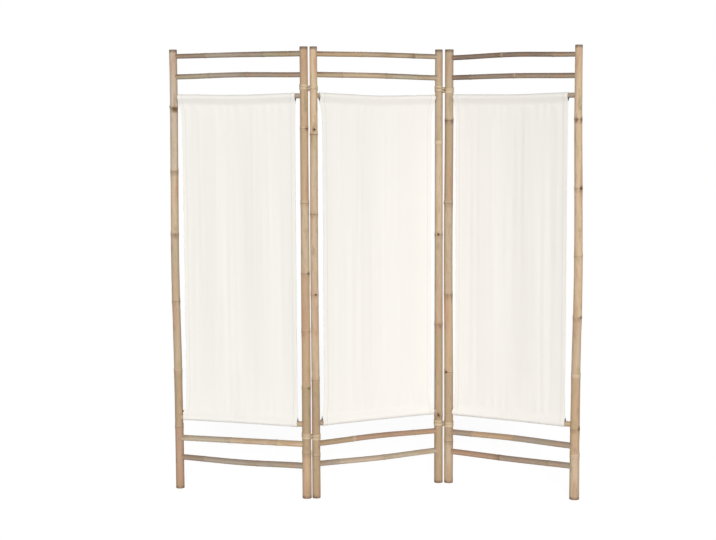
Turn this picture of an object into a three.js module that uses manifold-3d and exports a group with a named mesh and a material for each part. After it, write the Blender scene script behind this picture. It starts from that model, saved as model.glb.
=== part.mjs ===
// A folding screen of three bamboo-framed cotton panels, joined by straps lashed in a figure of eight.
// Millimetres and degrees, +Z up, the floor at z = 0. The screen is seen from -Y in its photographed fold.
import * as THREE from "three";
import { mergeVertices } from "three/addons/utils/BufferGeometryUtils.js";
import Module from "manifold-3d";

const wasm = await Module();
wasm.setup();

// ---------------------------------------------------------------- driving dimensions

const SCREEN_HEIGHT = 1800; // floor to the sawn tops of the posts
const PANEL_PITCH = 560; // from post axis to post axis within a panel

// How the screen stands: the middle panel's turn from +X, and how far each side panel is folded from flat.
const MIDDLE_YAW = 25.6;
const LEFT_FOLD = 43.6;
const RIGHT_FOLD = 55.6;
// From post axis to post axis across each lashed joint.
const LEFT_JOINT_SPACING = 38;
const RIGHT_JOINT_SPACING = 42.5;

// Rails: two rungs over the cloth, a rod through each end of the cloth, and two rungs under it.
const TOP_RUNG_DROP = 28; // from the post tops to the top rung's axis
const BOTTOM_RUNG_HEIGHT = 136; // from the floor to the bottom rung's axis
const RAIL_PITCH = 83; // between neighbouring rails
const RAIL_SEAT = 11; // how deep a rail's end sits in its post
const SOCKET_CLEARANCE = 0.3; // round and behind a rail's end in its drilled socket

// Bamboo: walls, diaphragms and the raised ring at each node.
const CULM_WALL = 7;
const DIAPHRAGM = 5; // wood left at the node that closes an open end
const POST_NODE_RIDGE = 1.1;
const POST_NODE_REACH = 6; // from a node's crest to where the culm is plain again
const RAIL_NODE_RIDGE = 0.8;
const RAIL_NODE_REACH = 5;
const SAWN_EDGE = 1; // eased edge of a post's sawn ends

// Cloth: one cotton sheet a panel, sewn back on itself round a rod at each end.
const CLOTH_EDGE_INSET = 36.5; // from a post's axis to the cloth's edge
const CLOTH_WIDTH = PANEL_PITCH - 2 * CLOTH_EDGE_INSET;
const CLOTH_THICKNESS = 1.2;
const POCKET_WALL = 1;
const POCKET_CLEARANCE = 0.3; // between a rod and the pocket round it
const POCKET_DEPTH = 38; // from the cloth's edge to the seam that closes the pocket
const SEAM_HEIGHT = 4; // from the seam to the hollow above it, and to the plain cloth below it
const HEM_WIDTH = 19; // turned-in side hems
const HEM_EXTRA = 0.8; // how much thicker the hems are
const HEM_EASE = 4; // over which a hem thins out to the plain cloth
const FOLD_DEPTH = 3; // the cloth's main vertical folds, from its plane to a crest
const FOLD_WIDTH = 205; // from crest to crest
const FOLD_LEAN = 30; // how far a fold wanders sideways from the cloth's foot to its head

// Strap hinges.
const STRAP_TURNS = 2; // figures of eight in one lashing
const STRAP_WIDTH = 11;
const STRAP_THICKNESS = 1.9;
const STRAP_LAY = 0.9; // between a turn and the next one below it
const STRAP_CLEARANCE = 0.4; // between strap and post, so that the posts can roll in it
const STRAP_NECK_WIDTH = 4.9; // where the strap squeezes through between the posts
const STRAP_NECK_THICKNESS = 1.8;
const STRAP_NECK_REACH = 6.8; // the neck's half-length, to either side of the crossing
const STRAP_SPREAD = 9; // length over which a neck widens to the full strap
const STRAP_LAP = 1.5; // from the rail below to a lashing's lower edge

// Each post: diameters at its sawn ends, how far it bows away from its panel, and the heights of its nodes.
const POSTS = {
  left_outer_post: { top: 31.5, foot: 35, bow: 6, nodes: [255, 489, 778, 1053, 1309, 1564] },
  left_inner_post: { top: 32, foot: 37, bow: 0, nodes: [182, 448, 677, 907, 1186, 1479] },
  middle_left_post: { top: 29.5, foot: 33, bow: 2.2, nodes: [172, 479, 823, 1142, 1456] },
  middle_right_post: { top: 31, foot: 36, bow: 0, nodes: [284, 669, 1041, 1420] },
  right_inner_post: { top: 35, foot: 37, bow: 3.2, nodes: [176, 468, 793, 1171, 1510] },
  right_outer_post: { top: 29.5, foot: 39.5, bow: 7, nodes: [175, 284, 498, 731, 975, 1241, 1511] },
};

// Each rail: how far its ends lie from the level of its row, how far its middle lies from the line between
// its ends, its diameters at the two ends, and the distances of its nodes from the left post's axis.
const PANELS = {
  left: {
    posts: ["left_outer_post", "left_inner_post"],
    clothShift: -2,
    rails: {
      top_rung: { lift: [1, 1], crown: 1, girth: [19, 22.5], nodes: [142, 388] },
      second_rung: { lift: [2, 2], crown: 4, girth: [21, 20], nodes: [158, 318] },
      upper_rod: { lift: [3, 3], crown: -5, girth: [20, 20], nodes: [] },
      lower_rod: { lift: [-2, -1], crown: 1, girth: [22, 22], nodes: [] },
      third_rung: { lift: [-7, 1], crown: 0, girth: [24, 24], nodes: [225, 431] },
      bottom_rung: { lift: [-5, -5], crown: -5, girth: [23, 25], nodes: [112, 346] },
    },
  },
  middle: {
    posts: ["middle_left_post", "middle_right_post"],
    clothShift: 1,
    rails: {
      top_rung: { lift: [0, -1], crown: 2, girth: [20.5, 20.5], nodes: [207, 441] },
      second_rung: { lift: [3, -4], crown: 2, girth: [22, 21.5], nodes: [121, 319] },
      upper_rod: { lift: [4, -2], crown: -7, girth: [20, 20], nodes: [] },
      lower_rod: { lift: [3, 4], crown: 1, girth: [22, 22], nodes: [] },
      third_rung: { lift: [3, 3], crown: 5, girth: [23, 22], nodes: [163, 443] },
      bottom_rung: { lift: [3, 2], crown: -4, girth: [22.5, 22.5], nodes: [94, 302] },
    },
  },
  right: {
    posts: ["right_inner_post", "right_outer_post"],
    clothShift: -7,
    rails: {
      top_rung: { lift: [-6, -8], crown: 6, girth: [20.5, 19.5], nodes: [230, 452] },
      second_rung: { lift: [-3, -7], crown: 3, girth: [20, 21.5], nodes: [94, 287] },
      upper_rod: { lift: [0, 0], crown: -4, girth: [20, 20], nodes: [] },
      lower_rod: { lift: [0, 1], crown: 1, girth: [22, 22], nodes: [] },
      third_rung: { lift: [-2, -3], crown: 4, girth: [23.5, 25], nodes: [103, 303] },
      bottom_rung: { lift: [-2, -2], crown: -2, girth: [24, 24], nodes: [233, 447] },
    },
  },
};

// Each fold: the two posts that its lashings bind, from left to right, and for each lashing the row it
// rests on and how far it has been pushed up from there.
const FOLDS = {
  left: {
    binds: [["left", 1], ["middle", 0]],
    spacing: LEFT_JOINT_SPACING,
    fold: LEFT_FOLD,
    lashings: { upper_strap: { over: "upper_rod", lift: 0 }, lower_strap: { over: "third_rung", lift: 0 } },
  },
  right: {
    binds: [["middle", 1], ["right", 0]],
    spacing: RIGHT_JOINT_SPACING,
    fold: RIGHT_FOLD,
    lashings: { upper_strap: { over: "upper_rod", lift: 2 }, lower_strap: { over: "third_rung", lift: 0 } },
  },
};

// ---------------------------------------------------------------- facets

const POST_SIDES = 12;
const RAIL_SIDES = 8;
const RAIL_SPANS = 6; // straight stretches that make up a rail's curve
const CLOTH_STEPS_A_SPAN = 2;
const CLOTH_ROWS = 5; // stretches between the heights at which the cloth is folded
const POCKET_ARC_STEPS = 8;
const POCKET_HALF_STEP = (2 * Math.PI) / 3 / POCKET_ARC_STEPS; // half of one step of an arc of 240 degrees
const STRAP_ARC_STEP = Math.PI / 10;
const NECK_STEPS = 2;
const GAP_SAMPLE = 1; // length between the places where a lashing is measured against itself
const GAP_SIDE_SAMPLES = 6; // such places across the strap's width
const MERGE_TOLERANCE = 1e-4;

// ---------------------------------------------------------------- finishes

const finish = (color, roughness) => new THREE.MeshStandardMaterial({ color, roughness, metalness: 0 });
const postFinish = () => finish(0xc6a684, 0.55);
const rungFinish = () => finish(0xa8876a, 0.6);
const clothFinish = () => finish(0xf3efe8, 0.95);
const strapFinish = () => finish(0xb9a98a, 0.7);

// ---------------------------------------------------------------- solids

const radians = THREE.MathUtils.degToRad;
const between = THREE.MathUtils.lerp;
const { clamp, smoothstep } = THREE.MathUtils;

// A swelling that starts and ends level: 0 at either end of a span and 1 in its middle.
const swell = (share) => Math.sin(Math.PI * clamp(share, 0, 1)) ** 2;

// A closed geometry as a solid, its shared corners merged and its empty triangles left out.
function toSolid(geometry) {
  const bare = geometry.clone();
  bare.deleteAttribute("normal");
  bare.deleteAttribute("uv");
  const merged = mergeVertices(bare, MERGE_TOLERANCE);
  const corners = merged.index.array;
  const kept = [];
  for (let i = 0; i < corners.length; i += 3) {
    const [a, b, c] = corners.slice(i, i + 3);
    if (a !== b && b !== c && c !== a) kept.push(a, b, c);
  }
  return new wasm.Manifold(
    new wasm.Mesh({
      numProp: 3,
      vertProperties: merged.attributes.position.array,
      triVerts: new Uint32Array(kept),
    }),
  );
}

function toGeometry(solid) {
  const { vertProperties, triVerts } = solid.getMesh();
  const geometry = new THREE.BufferGeometry();
  geometry.setAttribute("position", new THREE.BufferAttribute(vertProperties, 3));
  geometry.setIndex(new THREE.BufferAttribute(triVerts, 1));
  const faceted = geometry.toNonIndexed();
  faceted.computeVertexNormals();
  return faceted;
}

// Moves every corner of a geometry by a function of its place.
function reshape(geometry, move) {
  const corners = geometry.getAttribute("position");
  const place = new THREE.Vector3();
  for (let i = 0; i < corners.count; i += 1) {
    place.fromBufferAttribute(corners, i);
    move(place);
    corners.setXYZ(i, place.x, place.y, place.z);
  }
  return geometry;
}

// A round solid about +Z, from [radius, height] pairs that start and end on the axis.
function turned(profile, sides) {
  const outline = profile.map(([radius, height]) => new THREE.Vector2(radius, height));
  return new THREE.LatheGeometry(outline, sides).rotateX(Math.PI / 2);
}

// [radius, place] pairs of a culm's surface: raised at its nodes, and with rings at extra places between.
function culmSurface({ from, to, radiusAt, nodes, ridge, reach, extra }) {
  const rings = [[from, 0], [to, 0]];
  for (const node of nodes) rings.push([node - reach, 0], [node, ridge], [node + reach, 0]);
  for (const place of extra) {
    if (nodes.every((node) => Math.abs(node - place) > 2 * reach)) rings.push([place, 0]);
  }
  rings.sort((a, b) => a[0] - b[0]);
  return rings.map(([place, raised]) => [radiusAt(place) + raised, place]);
}

// ---------------------------------------------------------------- rails

const ROW_HEIGHT = {
  top_rung: SCREEN_HEIGHT - TOP_RUNG_DROP,
  second_rung: SCREEN_HEIGHT - TOP_RUNG_DROP - RAIL_PITCH,
  upper_rod: SCREEN_HEIGHT - TOP_RUNG_DROP - 2 * RAIL_PITCH,
  lower_rod: BOTTOM_RUNG_HEIGHT + 2 * RAIL_PITCH,
  third_rung: BOTTOM_RUNG_HEIGHT + RAIL_PITCH,
  bottom_rung: BOTTOM_RUNG_HEIGHT,
};

// The height of a rail's axis at x, measured from its panel's left post. Its curve is made of straight spans.
function railHeight(side, row, x) {
  const { lift, crown } = PANELS[side].rails[row];
  const share = clamp(x / PANEL_PITCH, 0, 1);
  const span = Math.min(Math.floor(share * RAIL_SPANS), RAIL_SPANS - 1);
  const before = swell(span / RAIL_SPANS);
  const after = swell((span + 1) / RAIL_SPANS);
  return ROW_HEIGHT[row] + between(...lift, share) + crown * between(before, after, share * RAIL_SPANS - span);
}

function railRadius(side, row, x) {
  return between(...PANELS[side].rails[row].girth, x / PANEL_PITCH) / 2;
}

// Where a rail starts and ends, seated in its two posts.
function railEnds(side, row) {
  const [start, inset] = PANELS[side].posts.map((name, end) => {
    const height = railHeight(side, row, end * PANEL_PITCH);
    return postRadius(name, height) - postBow(name, height) - RAIL_SEAT;
  });
  return [start, PANEL_PITCH - inset];
}

// The places between a panel's posts where its rails' straight spans meet.
const RAIL_KNOTS = Array.from({ length: RAIL_SPANS - 1 }, (_, i) => (PANEL_PITCH * (i + 1)) / RAIL_SPANS);

// A rail along +X. Grown by a clearance and without its nodes, it is the cutter of its own two sockets.
function railShape(side, row, growth = 0) {
  const [start, end] = railEnds(side, row);
  const from = start - growth;
  const to = end + growth;
  const surface = culmSurface({
    from,
    to,
    radiusAt: (x) => railRadius(side, row, x) + growth,
    nodes: growth > 0 ? [] : PANELS[side].rails[row].nodes,
    ridge: RAIL_NODE_RIDGE,
    reach: RAIL_NODE_REACH,
    extra: RAIL_KNOTS,
  });
  const straight = turned([[0, from], ...surface, [0, to]], RAIL_SIDES).rotateY(Math.PI / 2);
  return reshape(straight, (place) => {
    place.z += railHeight(side, row, place.x);
  });
}

// ---------------------------------------------------------------- posts

// A post bows between the rods of its cloth and stands straight beyond them.
const BOW_FROM = ROW_HEIGHT.lower_rod;
const BOW_TO = ROW_HEIGHT.upper_rod;

function postRadius(name, height) {
  const { top, foot } = POSTS[name];
  return between(foot, top, height / SCREEN_HEIGHT) / 2;
}

function postBow(name, height) {
  return POSTS[name].bow * swell((height - BOW_FROM) / (BOW_TO - BOW_FROM));
}

// The widest that a post gets between two heights, its nodes included.
function widestRadius(name, low, high) {
  const crossed = POSTS[name].nodes.some(
    (node) => node + POST_NODE_REACH > low && node - POST_NODE_REACH < high,
  );
  return Math.max(postRadius(name, low), postRadius(name, high)) + (crossed ? POST_NODE_RIDGE : 0);
}

// A straight culm, hollow from its head and from its foot to the nearest node.
function culm(name) {
  const { nodes, bow } = POSTS[name];
  const footNode = Math.min(...nodes) - DIAPHRAGM / 2;
  const headNode = Math.max(...nodes) + DIAPHRAGM / 2;
  const footRadius = postRadius(name, 0);
  const headRadius = postRadius(name, SCREEN_HEIGHT);
  const surface = culmSurface({
    from: SAWN_EDGE,
    to: SCREEN_HEIGHT - SAWN_EDGE,
    radiusAt: (height) => postRadius(name, height),
    nodes,
    ridge: POST_NODE_RIDGE,
    reach: POST_NODE_REACH,
    extra: bow > 0 ? [BOW_FROM, BOW_TO] : [],
  });
  const foot = [
    [0, footNode],
    [footRadius - CULM_WALL, footNode],
    [footRadius - CULM_WALL, 0],
    [footRadius - SAWN_EDGE, 0],
  ];
  const head = [
    [headRadius - SAWN_EDGE, SCREEN_HEIGHT],
    [headRadius - CULM_WALL, SCREEN_HEIGHT],
    [headRadius - CULM_WALL, headNode],
    [0, headNode],
  ];
  return turned([...foot, ...surface, ...head], POST_SIDES);
}

// A post in its panel's frame, bowed and drilled for its rails. End 0 is the panel's left, end 1 its right.
function postShape(side, end) {
  const name = PANELS[side].posts[end];
  const outward = end === 0 ? -1 : 1;
  const bowed = reshape(culm(name), (place) => {
    place.x += outward * postBow(name, place.z) + end * PANEL_PITCH;
  });
  const sockets = Object.keys(PANELS[side].rails).map((row) => railShape(side, row, SOCKET_CLEARANCE));
  return sockets.reduce((wood, socket) => wood.subtract(toSolid(socket)), toSolid(bowed));
}

// ---------------------------------------------------------------- cloth

// A pocket's outlines, seen along its rod: round the rod and drawn together at the seam. Up is +1 for the
// pocket on the upper rod, whose seam lies under it, and -1 for the one on the lower rod.
function pocket(rodHeight, rodRadius, up) {
  const inner = (rodRadius + POCKET_CLEARANCE) / Math.cos(POCKET_HALF_STEP);
  const outer = inner + POCKET_WALL;
  const drop = POCKET_DEPTH - outer;
  const wrap = Math.PI / 2 + Math.asin(inner / drop);
  const arc = (radius) =>
    Array.from({ length: POCKET_ARC_STEPS + 1 }, (_, i) => {
      const angle = between(wrap, -wrap, i / POCKET_ARC_STEPS);
      return new THREE.Vector2(radius * Math.sin(angle), rodHeight + up * radius * Math.cos(angle));
    });
  return {
    outside: arc(outer),
    hollow: [...arc(inner), new THREE.Vector2(0, rodHeight - up * (drop - SEAM_HEIGHT))],
    sheetEnd: rodHeight - up * (drop + SEAM_HEIGHT),
  };
}

// The cloth's section across its panel, with the hollows of its two pockets, and its plain part's heights.
function clothSection(side) {
  const upper = pocket(ROW_HEIGHT.upper_rod, railRadius(side, "upper_rod", 0), 1);
  const lower = pocket(ROW_HEIGHT.lower_rod, railRadius(side, "lower_rod", 0), -1);
  const rows = Array.from({ length: CLOTH_ROWS + 1 }, (_, i) =>
    between(lower.sheetEnd, upper.sheetEnd, i / CLOTH_ROWS),
  );
  const face = (offset) => rows.map((height) => new THREE.Vector2(offset, height));
  const back = face(CLOTH_THICKNESS / 2);
  const front = face(-CLOTH_THICKNESS / 2).reverse();
  const section = new THREE.Shape([...back, ...upper.outside, ...front, ...lower.outside.reverse()]);
  section.holes.push(new THREE.Path(upper.hollow), new THREE.Path(lower.hollow));
  return { section, from: lower.sheetEnd, to: upper.sheetEnd };
}

// The places of the cloth's columns, measured from its panel's left post: hems, then the rails' spans.
function clothColumns(side) {
  const left = CLOTH_EDGE_INSET + PANELS[side].clothShift;
  const right = left + CLOTH_WIDTH;
  const inset = HEM_WIDTH + HEM_EASE;
  const step = PANEL_PITCH / RAIL_SPANS / CLOTH_STEPS_A_SPAN;
  const columns = [left, left + HEM_WIDTH, left + inset];
  for (let x = step; x < PANEL_PITCH - step / 2; x += step) {
    if (x > left + inset + step / 4 && x < right - inset - step / 4) columns.push(x);
  }
  return [...columns, right - inset, right - HEM_WIDTH, right];
}

// How far the hanging cloth stands out of its plane, in folds that die out at its pockets and its hems.
function clothFold(across, rise) {
  const drape = Math.sqrt(swell(rise) * swell(across / CLOTH_WIDTH));
  return FOLD_DEPTH * Math.sqrt(drape) * Math.sin((2 * Math.PI * (across + FOLD_LEAN * rise)) / FOLD_WIDTH);
}

function clothShape(side) {
  const { section, from, to } = clothSection(side);
  const columns = clothColumns(side);
  const steps = columns.length - 1;
  const flat = new THREE.ExtrudeGeometry(section, { depth: steps, steps, bevelEnabled: false });
  return reshape(flat, (place) => {
    const x = columns[Math.round(place.z)];
    const across = x - columns[0];
    const rise = clamp((place.y - from) / (to - from), 0, 1);
    const plain = place.y > from - MERGE_TOLERANCE && place.y < to + MERGE_TOLERANCE;
    const hemmed = across < HEM_WIDTH + MERGE_TOLERANCE || across > CLOTH_WIDTH - HEM_WIDTH - MERGE_TOLERANCE;
    const thicker = plain && hemmed ? 1 + HEM_EXTRA / CLOTH_THICKNESS : 1;
    const lowerSag = railHeight(side, "lower_rod", x) - ROW_HEIGHT.lower_rod;
    const upperSag = railHeight(side, "upper_rod", x) - ROW_HEIGHT.upper_rod;
    const stand = place.x * thicker + clothFold(across, rise);
    place.set(x, stand, place.y + between(lowerSag, upperSag, rise));
  });
}

// ---------------------------------------------------------------- strap hinges

const STRAP_PITCH = STRAP_WIDTH + STRAP_LAY;
const LASHING_HEIGHT = STRAP_TURNS * STRAP_PITCH + STRAP_WIDTH;

// The middle of the strap round a post, far enough out that its straight facets clear the post.
const strapRadius = (post) =>
  (post + STRAP_CLEARANCE + STRAP_THICKNESS / 2) / Math.cos(STRAP_ARC_STEP / 2);

// The strap's way round two posts, the first at the origin and the second at +X: round the first, between
// them, round the second the other way, and back between them.
function figureOfEight(firstRadius, secondRadius, spacing) {
  const open = Math.acos((firstRadius + secondRadius) / spacing);
  const sweep = 2 * (Math.PI - open);
  const arcSteps = Math.ceil(sweep / STRAP_ARC_STEP);
  const arcs = [
    { centre: 0, radius: firstRadius, from: open, turn: 1 },
    { centre: spacing, radius: secondRadius, from: Math.PI - open, turn: -1 },
  ];
  const onArc = ({ centre, radius, from, turn }, share) => {
    const angle = from + turn * sweep * share;
    return new THREE.Vector2(centre + radius * Math.cos(angle), radius * Math.sin(angle));
  };
  return arcs.flatMap((arc, i) => {
    const round = Array.from({ length: arcSteps + 1 }, (_, k) => onArc(arc, k / arcSteps));
    const leave = onArc(arc, 1);
    const arrive = onArc(arcs[1 - i], 0);
    const neck = Array.from({ length: NECK_STEPS - 1 }, (_, k) =>
      leave.clone().lerp(arrive, (k + 1) / NECK_STEPS),
    );
    return [...round, ...neck];
  });
}

// A lashing's course: the figure of eight laid over and over, each turn one strap lower than the last.
// It starts and ends at the back of the first post.
function lashingCourse(firstRadius, secondRadius, spacing) {
  const loop = figureOfEight(firstRadius, secondRadius, spacing);
  const start = Math.round(loop.length / 8);
  const flat = Array.from(
    { length: loop.length * STRAP_TURNS + 1 },
    (_, i) => loop[(start + i) % loop.length],
  );
  const along = [0];
  for (let i = 1; i < flat.length; i += 1) along.push(along[i - 1] + flat[i].distanceTo(flat[i - 1]));
  const descent = STRAP_TURNS * STRAP_PITCH;
  const crossing = new THREE.Vector2((spacing * firstRadius) / (firstRadius + secondRadius), 0);
  return flat.map((spot, i) => {
    const before = flat[Math.max(i - 1, 0)];
    const after = flat[Math.min(i + 1, flat.length - 1)];
    const ahead = after.clone().sub(before).normalize();
    const full = smoothstep(spot.distanceTo(crossing) - STRAP_NECK_REACH, 0, STRAP_SPREAD);
    return {
      place: new THREE.Vector3(spot.x, spot.y, descent * (0.5 - along[i] / along[along.length - 1])),
      aside: new THREE.Vector3(ahead.y, -ahead.x, 0),
      width: between(STRAP_NECK_WIDTH, STRAP_WIDTH, full),
      thickness: between(STRAP_NECK_THICKNESS, STRAP_THICKNESS, full),
    };
  });
}

// The strap's outline at one place of its course: flat sides in equal steps, and eased edges.
function strapOutline({ place, aside, width, thickness }, sideSteps = 1) {
  const flank = (width - thickness) / 2;
  const heights = Array.from({ length: sideSteps + 1 }, (_, i) => between(flank, -flank, i / sideSteps));
  const outline = [
    [0, width / 2],
    ...heights.map((height) => [thickness / 2, height]),
    [0, -width / 2],
    ...heights.map((height) => [-thickness / 2, -height]),
  ];
  return outline.map(([out, rise]) => {
    const corner = place.clone().addScaledVector(aside, out);
    corner.z += rise;
    return corner;
  });
}

// One unbroken band through a row of outlines, closed at both ends.
function band(outlines) {
  const size = outlines[0].length;
  const last = (outlines.length - 1) * size;
  const triangles = [];
  for (let ring = 0; ring < last; ring += size) {
    for (let k = 0; k < size; k += 1) {
      const a = ring + k;
      const b = ring + ((k + 1) % size);
      triangles.push(a, b, b + size, a, b + size, a + size);
    }
  }
  for (let k = 1; k < size - 1; k += 1) {
    triangles.push(0, k + 1, k, last, last + k, last + k + 1);
  }
  const geometry = new THREE.BufferGeometry().setFromPoints(outlines.flat());
  geometry.setIndex(triangles);
  return geometry;
}

// The least gap between parts of a lashing that lie more than two widths apart along the strap.
function leastGap(course) {
  const outlines = course.map((station) => strapOutline(station, GAP_SIDE_SAMPLES));
  const spots = [];
  let along = 0;
  for (let i = 1; i < course.length; i += 1) {
    const length = course[i].place.distanceTo(course[i - 1].place);
    const parts = Math.ceil(length / GAP_SAMPLE);
    for (let k = 0; k < parts; k += 1) {
      const corners = outlines[i].map((corner, j) => outlines[i - 1][j].clone().lerp(corner, k / parts));
      spots.push({ along: along + (length * k) / parts, corners });
    }
    along += length;
  }
  let least = Infinity;
  for (const one of spots) {
    const others = spots.filter((spot) => spot.along > one.along + 2 * STRAP_WIDTH);
    for (const other of others) {
      for (const a of one.corners) {
        for (const b of other.corners) least = Math.min(least, a.distanceToSquared(b));
      }
    }
  }
  return Math.sqrt(least);
}

// A lashing in its joint's frame, where the two posts stand on +X with the first at the origin.
function lashingShape(side, strap) {
  const { binds, spacing, lashings } = FOLDS[side];
  const { over, lift } = lashings[strap];
  const railTops = binds.map(([panel, end]) => {
    const x = end * PANEL_PITCH;
    return railHeight(panel, over, x) + railRadius(panel, over, x);
  });
  const low = Math.max(...railTops) + STRAP_LAP + lift;
  const radii = binds.map(([panel, end]) =>
    strapRadius(widestRadius(PANELS[panel].posts[end], low, low + LASHING_HEIGHT)),
  );
  const course = lashingCourse(...radii, spacing);
  console.log(`${side}_${strap}: least gap to itself ${leastGap(course).toFixed(2)} mm`);
  return band(course.map((station) => strapOutline(station))).translate(0, 0, low + LASHING_HEIGHT / 2);
}

// ---------------------------------------------------------------- assembly

function piece(name, solid, material) {
  const mesh = new THREE.Mesh(toGeometry(solid), material);
  mesh.name = name;
  return mesh;
}

// A panel, its left post's axis at the origin and its right post on +X.
function panel(side) {
  const { posts, rails } = PANELS[side];
  return new THREE.Group().add(
    ...posts.map((name, end) => piece(name, postShape(side, end), postFinish())),
    ...Object.keys(rails).map((row) => piece(`${side}_${row}`, toSolid(railShape(side, row)), rungFinish())),
    piece(`${side}_fabric`, toSolid(clothShape(side)), clothFinish()),
  );
}

// The lashings of a fold, its first post's axis at the origin and its second post on +X.
function lashings(side) {
  const straps = Object.keys(FOLDS[side].lashings);
  return new THREE.Group().add(
    ...straps.map((strap) => piece(`${side}_${strap}`, toSolid(lashingShape(side, strap)), strapFinish())),
  );
}

// A frame that stands at x and is turned back by half of a fold.
function halfFold(side, x, ...children) {
  const frame = new THREE.Group().add(...children);
  frame.position.x = x;
  frame.rotation.z = -radians(FOLDS[side].fold / 2);
  return frame;
}

// Shifts a group along its own +X inside a new one.
function shifted(group, x) {
  group.position.x = x;
  return new THREE.Group().add(group);
}

function screen() {
  const leftPanel = halfFold("left", -LEFT_JOINT_SPACING, shifted(panel("left"), -PANEL_PITCH));
  const rightPanel = halfFold("right", RIGHT_JOINT_SPACING, panel("right"));
  const whole = new THREE.Group().add(
    panel("middle"),
    halfFold("left", 0, shifted(lashings("left"), -LEFT_JOINT_SPACING), leftPanel),
    halfFold("right", PANEL_PITCH, lashings("right"), rightPanel),
  );
  whole.rotation.z = radians(MIDDLE_YAW);
  const centred = new THREE.Group().add(whole);
  centred.updateMatrixWorld(true);
  const box = new THREE.Box3().setFromObject(centred, true);
  whole.position.set(-(box.min.x + box.max.x) / 2, -(box.min.y + box.max.y) / 2, -box.min.z);
  centred.updateMatrixWorld(true);
  return centred;
}

export default screen();
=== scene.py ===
"""A folding screen of three bamboo frames with cotton cloths, dressed over its CAD frame. Metres, +Z up."""

import math
import random

import bmesh
import bpy
from mathutils import Euler, Matrix, Vector


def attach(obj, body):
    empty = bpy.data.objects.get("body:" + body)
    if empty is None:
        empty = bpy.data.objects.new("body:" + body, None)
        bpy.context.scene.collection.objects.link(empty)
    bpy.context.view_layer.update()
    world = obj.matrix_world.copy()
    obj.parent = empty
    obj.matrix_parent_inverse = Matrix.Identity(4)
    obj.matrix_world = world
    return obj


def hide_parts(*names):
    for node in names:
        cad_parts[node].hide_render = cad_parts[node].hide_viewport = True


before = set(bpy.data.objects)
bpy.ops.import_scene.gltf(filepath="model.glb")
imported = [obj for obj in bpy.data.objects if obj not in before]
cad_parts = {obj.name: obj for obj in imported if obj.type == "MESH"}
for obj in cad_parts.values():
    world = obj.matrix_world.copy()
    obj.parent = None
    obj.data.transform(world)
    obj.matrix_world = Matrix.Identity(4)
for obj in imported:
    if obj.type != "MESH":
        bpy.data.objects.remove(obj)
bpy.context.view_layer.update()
MM = 0.001


# ---------------------------------------------------------------- the screen's own measures, in millimetres

SCREEN_HEIGHT = 1800
PANEL_PITCH = 560  # between the axes of a panel's two posts
CULM_WALL = 7
DIAPHRAGM = 5  # the wall that closes a culm at a node
RAIL_SEAT = 11  # how deep a rail's end sits in its post
ROW_HEIGHT = {"top_rung": 1772, "second_rung": 1689, "upper_rod": 1606,
              "lower_rod": 302, "third_rung": 219, "bottom_rung": 136}
BOW_FROM, BOW_TO = ROW_HEIGHT["lower_rod"], ROW_HEIGHT["upper_rod"]

# Where each panel stands: its left post's axis, and its turn about it.
STANDS = {"left": ((-802.293, 70.09), -18.0), "middle": ((-231.785, -100.441), 25.6),
          "right": ((315.71, 139.895), -30.0)}

# Each post: the end of its panel that it stands at (0 left, 1 right), its diameters at head and foot, how far
# it bows outwards, its nodes, the tone of each stretch from the foot up, its branch stubs as (side in degrees,
# height, size), and how strongly some nodes are marked: (pale bloom, dark line, dark smudge).
POSTS = {
    "left": {
        "left_outer_post": dict(end=0, head=31.5, foot=35, bow=6, nodes=[255, 489, 778, 1053, 1309, 1564],
                                tones="reddened dun sand sand straw ash ash",
                                scars=[(-10, 272, 9), (2, 324, 12), (-160, 1572, 8)],
                                marked={1564: (0, 0.4, 0.9)}),
        "left_inner_post": dict(end=1, head=32, foot=37, bow=0, nodes=[182, 448, 677, 907, 1186, 1479],
                                tones="honey dun honey honey straw honey honey",
                                scars=[(-38, 1480, 14), (-28, 909, 10), (-35, 450, 9)],
                                marked={1479: (0.6, 0.5, 0.1)}),
    },
    "middle": {
        "middle_left_post": dict(end=0, head=29.5, foot=33, bow=2.2, nodes=[172, 479, 823, 1142, 1456],
                                 tones="dun dun straw straw straw bright",
                                 scars=[(-103, 1477, 14), (-97, 825, 12)],
                                 marked={1456: (0.1, 0.8, 0.2)}),
        "middle_right_post": dict(end=1, head=31, foot=36, bow=0, nodes=[284, 669, 1041, 1420],
                                  tones="dun dun sand straw sand",
                                  scars=[(-120, 1046, 12), (-118, 290, 15)],
                                  marked={1420: (1, 0.1, 0), 284: (0.7, 0.6, 0.3)}),
    },
    "right": {
        "right_inner_post": dict(end=0, head=35, foot=37, bow=3.2, nodes=[176, 468, 793, 1171, 1510],
                                 tones="sand dun honey sand dun sand",
                                 scars=[(-146, 1174, 10), (-96, 471, 10)], marked={1510: (0, 0.5, 0.7)}),
        "right_outer_post": dict(end=1, head=29.5, foot=39.5, bow=7,
                                 nodes=[175, 284, 498, 731, 975, 1241, 1511],
                                 tones="straw honey honey straw bright bright bright bright",
                                 scars=[(-28, 1244, 11), (-20, 734, 9), (-16, 287, 13)],
                                 marked={1511: (0.1, 0.3, 0.8), 498: (1, 0.1, 0), 175: (0.8, 0.2, 0)}),
    },
}

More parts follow.
